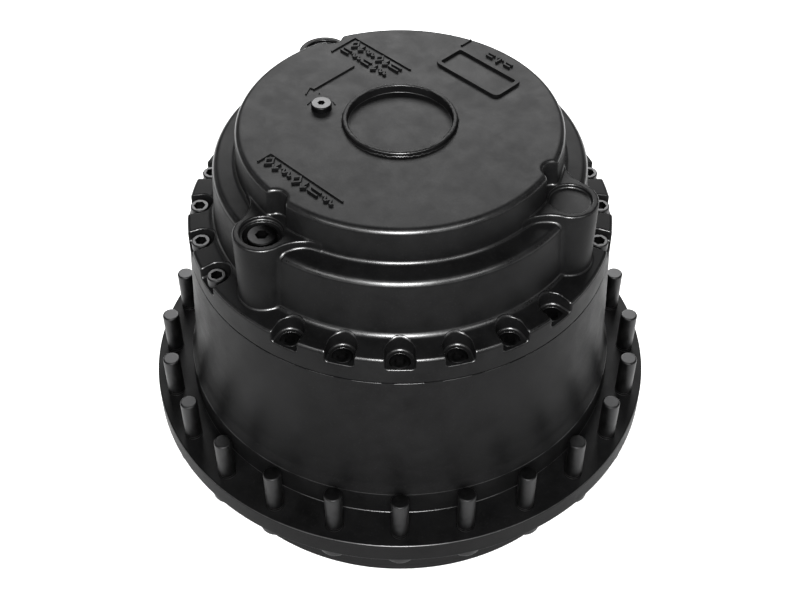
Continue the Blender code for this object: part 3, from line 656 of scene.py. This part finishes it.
# ---------------------------------------------------------------- wheel studs
stud = lathe("wheel_stud_shape", [
    (0.0, 167.0, 0.0), (9.9, 167.0, 1.9), (9.9, 114.5, 0.6), (9.2, 113.0, 0.4), (9.2, 110.2, 0.4),
    (9.9, 109.0, 0.4), (9.9, 84.2, 0.4), (18.7, 84.2, 0.8), (18.7, 76.0, 1.8), (0.0, 76.0, 0.0),
], 32, 22.0)
shade(stud, 40.0)
for i in range(24):
    name = "wheel_stud_%02d" % (i + 1)
    piece = bpy.data.objects.new(name + "_turned", stud.data)
    bpy.context.scene.collection.objects.link(piece)
    x, y = polar(STUD_CIRCLE, 15.0 * i)
    piece.location = (x * MM, y * MM, 0.0)
    piece.rotation_euler.z = math.radians(15.0 * i + 7.0 * (i % 5))
    dress(piece, STUD)
    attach(piece, "hub")
    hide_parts(name)
bpy.data.objects.remove(stud)

# ---------------------------------------------------------------- cover screws
def socket_screw(name, seat):
    """A socket-head screw with its head on the given seat, its axis on Z."""
    made = lathe(name, [
        (0.0, seat + 12.0, 0.0), (10.3, seat + 12.0, 1.3), (10.3, seat, 0.5), (7.0, seat, 0.6),
        (7.0, 281.0, 1.2), (0.0, 281.0, 0.0),
    ], 40, 22.0)
    kept = list(made["edge_line"])
    made = carve(made, holes("socket", [(0.0, 0.0, 0.0)], 6.9, seat + 5.0, seat + 20.0, 6))
    made["edge_line"] = kept
    recall_curve(made)
    return shade(made)


raised = socket_screw("raised_screw_shape", SCREW_SEAT + 0.3)
sunk = socket_screw("sunk_screw_shape", SCREW_SEAT - 12.0 + 0.3)
for i, a in enumerate(screw_angles):
    piece = bpy.data.objects.new("cover_screw_%02d" % (i + 1), (sunk if a in SUNK else raised).data)
    bpy.context.scene.collection.objects.link(piece)
    x, y = polar(SCREW_R, a)
    piece.location = (x * MM, y * MM, 0.0)
    piece.rotation_euler.z = math.radians((i * 47) % 60)
    dress(piece, BLACK)
    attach(piece, "hub")
    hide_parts("cover_screws")
bpy.data.objects.remove(raised)
bpy.data.objects.remove(sunk)

# ---------------------------------------------------------------- plugs
def socket_plug(name, at, seat, head, height, shank, end, socket, depth, turn, material):
    """A plug with a round head and a hexagon socket."""
    made = lathe(name, [
        (0.0, seat + height, 0.0), (head, seat + height, 1.3), (head, seat, 0.4), (shank, seat, 0.5),
        (shank, end, 1.0), (0.0, end, 0.0),
    ], 48, 22.0)
    kept = list(made["edge_line"])
    made = carve(made, holes("plug_socket", [(0.0, 0.0, turn)], socket, seat + height - depth, seat + height + 9.0, 6))
    made["edge_line"] = kept
    recall_curve(made)
    shade(made)
    made.location = (at[0] * MM, at[1] * MM, 0.0)
    dress(made, material)
    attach(made, "hub")
    return made


drain = socket_plug("drain_plug_turned", polar(BOSS_AT, BOSSES[0]), DRAIN_SEAT + 0.3, 15.2, 10.2, 11.0, 403.5, 7.0, 6.5, 0.3, PLUG)
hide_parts("drain_plug")
level = socket_plug("level_plug_turned", LEVEL_AT, COVER_TOP + 0.3, 11.1, 6.8, 8.0, 440.0, 4.2, 5.0, 0.2, BLACK)
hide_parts("level_plug")

# ---------------------------------------------------------------- raised marks on the cover
def ribbon(points, closed, half, height):
    """A raised cast line on the top face with flat top and sloped sides, as points and faces."""
    path = np.asarray(points, float)
    count = len(path)
    before, after = np.roll(path, 1, 0), np.roll(path, -1, 0)
    if not closed:
        before[0], after[-1] = 2.0 * path[0] - path[1], 2.0 * path[-1] - path[-2]
    one = (path - before) / np.linalg.norm(path - before, axis=1, keepdims=True)
    two = (after - path) / np.linalg.norm(after - path, axis=1, keepdims=True)
    side = np.stack([-(one + two)[:, 1], (one + two)[:, 0]], 1)
    side /= np.maximum(np.linalg.norm(side, axis=1, keepdims=True), 1e-9)
    reach = 1.0 / np.maximum((side * np.stack([-one[:, 1], one[:, 0]], 1)).sum(1), 0.5)
    spots, low, high = [], COVER_TOP - 0.4, COVER_TOP + height
    for k in range(count):
        for sign, level, wide in ((1, low, half), (1, high, half - 0.35), (-1, high, half - 0.35), (-1, low, half)):
            spots.append((*(path[k] + sign * side[k] * reach[k] * wide), level))
    faces = []
    for k in range(count if closed else count - 1):
        a, b = 4 * k, 4 * ((k + 1) % count)
        for m in range(4):
            n = (m + 1) % 4
            faces.append((a + m, a + n, b + n, b + m))
    if not closed:
        faces.append((3, 2, 1, 0))
        e = 4 * (count - 1)
        faces.append((e, e + 1, e + 2, e + 3))
    return spots, faces


def corner_path(points, radius, closed, parts=5):
    """A path with its corners rounded."""
    out, count = [], len(points)
    for i, p in enumerate(points):
        if not closed and i in (0, count - 1):
            out.append(p)
            continue
        here = np.array(p, float)
        a = np.array(points[i - 1], float) - here
        b = np.array(points[(i + 1) % count], float) - here
        a, b = a / np.linalg.norm(a), b / np.linalg.norm(b)
        one, two = here + a * radius, here + b * radius
        for k in range(parts + 1):
            t = k / parts
            q = (1 - t) ** 2 * one + 2 * t * (1 - t) * here + t * t * two
            out.append((float(q[0]), float(q[1])))
    return out


def lozenge(cx, cy, size):
    half = size / 2.0
    return [([(cx, cy + half), (cx + 0.8 * half, cy), (cx, cy - half), (cx - 0.8 * half, cy)], True)]


def arrow(cx, cy, size, way=-1):
    """An arrow along Y: shaft and head."""
    tip = cy + way * size * 0.5
    wing = tip - way * size * 0.38
    return [
        ([(cx, cy - way * size * 0.5), (cx, tip - way * size * 0.12)], False),
        ([(cx - size * 0.36, wing), (cx, tip), (cx + size * 0.36, wing)], False),
    ]


def wave(cx, cy, long, tall):
    """A ripple, the sign for a fluid's surface."""
    return [([(cx + long * (k / 12 - 0.5), cy + tall * 0.5 * math.sin(TAU * k / 6)) for k in range(13)], False)]


def bars(cx, cy, long, tall):
    return [([(cx - long / 2, cy + tall * d), (cx + long / 2, cy + tall * d)], False) for d in (-0.3, 0.3)]


strokes = [
    (corner_path([(-44.3, 103.6), (44.3, 103.6), (44.3, 140.6), (-44.3, 140.6)], 5.5, True), True, 2.7, 3.2),
    ([(-48.5, 147.0), (-48.5, 163.5)], False, 1.1, 1.8),
    (corner_path([(-144.5, 35.0), (-145.0, 72.5), (-56.3, 73.0)], 1.5, False, 3), False, 1.1, 1.8),
    ([(-106.0, 33.2), (-105.7, -28.2)], False, 1.4, 2.0),
    (corner_path([(-105.0, -40.0), (-111.2, -28.6), (-105.7, -27.0)], 1.0, False, 3), False, 1.0, 1.6),
    (corner_path([(-54.4, -152.5), (-54.5, -134.0), (53.8, -133.8)], 1.5, False, 3), False, 1.1, 1.8),
    ([(-90.4, -50.5), (-92.0, -45.0)], False, 0.8, 1.2),
    ([(-74.6, -27.6), (-69.4, -29.6)], False, 0.8, 1.2),
    ([(-96.8, -28.4), (-95.6, -27.6)], False, 0.8, 1.2),
]
signs = (
    lozenge(-134.0, 62.5, 11.0) + arrow(-123.5, 62.5, 10.5) + wave(-110.0, 62.5, 14.0, 5.0) + lozenge(-95.0, 62.5, 11.0)
    + arrow(-84.5, 62.5, 10.5) + bars(-70.5, 62.5, 15.0, 9.0)
    + bars(-133.0, 47.0, 12.0, 9.0) + wave(-116.5, 47.0, 14.0, 5.0) + bars(-100.5, 47.0, 12.0, 9.0)
    + arrow(-87.5, 47.0, 10.5) + wave(-75.0, 47.0, 12.0, 5.0)
    + lozenge(-45.5, -144.0, 12.0) + arrow(-34.0, -144.0, 11.0) + wave(-19.5, -144.0, 15.0, 5.5) + lozenge(-3.5, -144.0, 12.0)
    + arrow(8.5, -144.0, 11.0) + bars(23.0, -144.0, 14.0, 9.0) + wave(42.0, -143.5, 16.0, 5.5)
    + arrow(2.0, 155.5, 12.0, 1) + bars(-11.0, 155.5, 9.0, 8.0) + bars(15.0, 155.5, 9.0, 8.0)
)
strokes += [(points, closed, 1.25, 2.6) for points, closed in signs]
spots, faces = [], []
for points, closed, half, height in strokes:
    more, shapes = ribbon(points, closed, half, height)
    faces += [tuple(len(spots) + v for v in face) for face in shapes]
    spots += more
marks = add_mesh("cover_marks", spots, faces, np.zeros(len(spots)))
work = bmesh.new()
work.from_mesh(marks.data)
bmesh.ops.recalc_face_normals(work, faces=work.faces)
work.to_mesh(marks.data)
work.free()
shade(marks, 40.0)
dress(marks, PAINT)
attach(marks, "hub")

# ---------------------------------------------------------------- pieces kept from the frame
INNER = {
    "gear_steel": GEAR, "ground_steel": GROUND, "carrier_iron": IRON, "bronze": BRONZE, "seal_rubber": RUBBER,
    "black_steel": BLACK, "stud_steel": STUD, "cast_paint": PAINT,
}
for part in frame["record"]["subparts"]:
    shown = nodes[part["node"]]
    if not shown.hide_render:
        shown.data.materials.clear()
        shown.data.materials.append(INNER[part["material_slot"]])

# ---------------------------------------------------------------- floor, light and camera
def panel(name, place, target, size, power, tint=(1.0, 1.0, 1.0)):
    light = bpy.data.lights.new(name, "AREA")
    light.shape = "RECTANGLE"
    light.size, light.size_y = size
    light.energy = power
    light.color = tint
    obj = bpy.data.objects.new(name, light)
    bpy.context.scene.collection.objects.link(obj)
    obj.location = place
    obj.rotation_euler = (Vector(target) - Vector(place)).to_track_quat("-Z", "Y").to_euler()
    return obj


floor_mesh = bpy.data.meshes.new("floor")
work = bmesh.new()
bmesh.ops.create_grid(work, x_segments=2, y_segments=2, size=6.0)
work.to_mesh(floor_mesh)
work.free()
floor = bpy.data.objects.new("floor", floor_mesh)
bpy.context.scene.collection.objects.link(floor)
floor.location.z = -0.0005
pale, tree, shader = new_material("floor_pale")
shader.inputs["Base Color"].default_value = (0.92, 0.92, 0.92, 1.0)
shader.inputs["Roughness"].default_value = 0.9
shader.inputs["Emission Color"].default_value = (1.0, 1.0, 1.0, 1.0)
shader.inputs["Emission Strength"].default_value = 0.42
floor.data.materials.append(pale)

world = bpy.data.worlds.new("studio")
bpy.context.scene.world = world
world.use_nodes = True
world.node_tree.nodes["Background"].inputs["Color"].default_value = (1.0, 1.0, 1.0, 1.0)
world.node_tree.nodes["Background"].inputs["Strength"].default_value = 0.04

panel("back", (-1.5, 1.5, 1.9), (0.0, 0.0, 0.3), (1.9, 1.0), 138.0)
panel("front", (1.5, -1.5, 1.9), (0.0, 0.0, 0.3), (0.8, 0.7), 84.0)
panel("front_left", (0.2, -2.1, 1.9), (0.0, 0.0, 0.3), (0.9, 0.7), 8.0)
panel("front_right", (2.1, -0.2, 1.9), (0.0, 0.0, 0.3), (0.9, 0.7), 8.0)
panel("front_low", (1.8, -1.8, 1.1), (0.0, 0.0, 0.3), (0.7, 0.5), 12.0)

camera = bpy.data.cameras.new("camera")
camera.lens = 59.53
camera.sensor_width = 36.0
camera.clip_start, camera.clip_end = 0.05, 50.0
eye = bpy.data.objects.new("camera", camera)
bpy.context.scene.collection.objects.link(eye)
eye.location = (0.7978, -0.7978, 1.3239)
aim = Vector((0.0, 0.0, 0.1915)) - eye.location
eye.rotation_euler = aim.to_track_quat("-Z", "Y").to_euler()
bpy.context.scene.camera = eye
bpy.context.scene.view_settings.view_transform = "Standard"
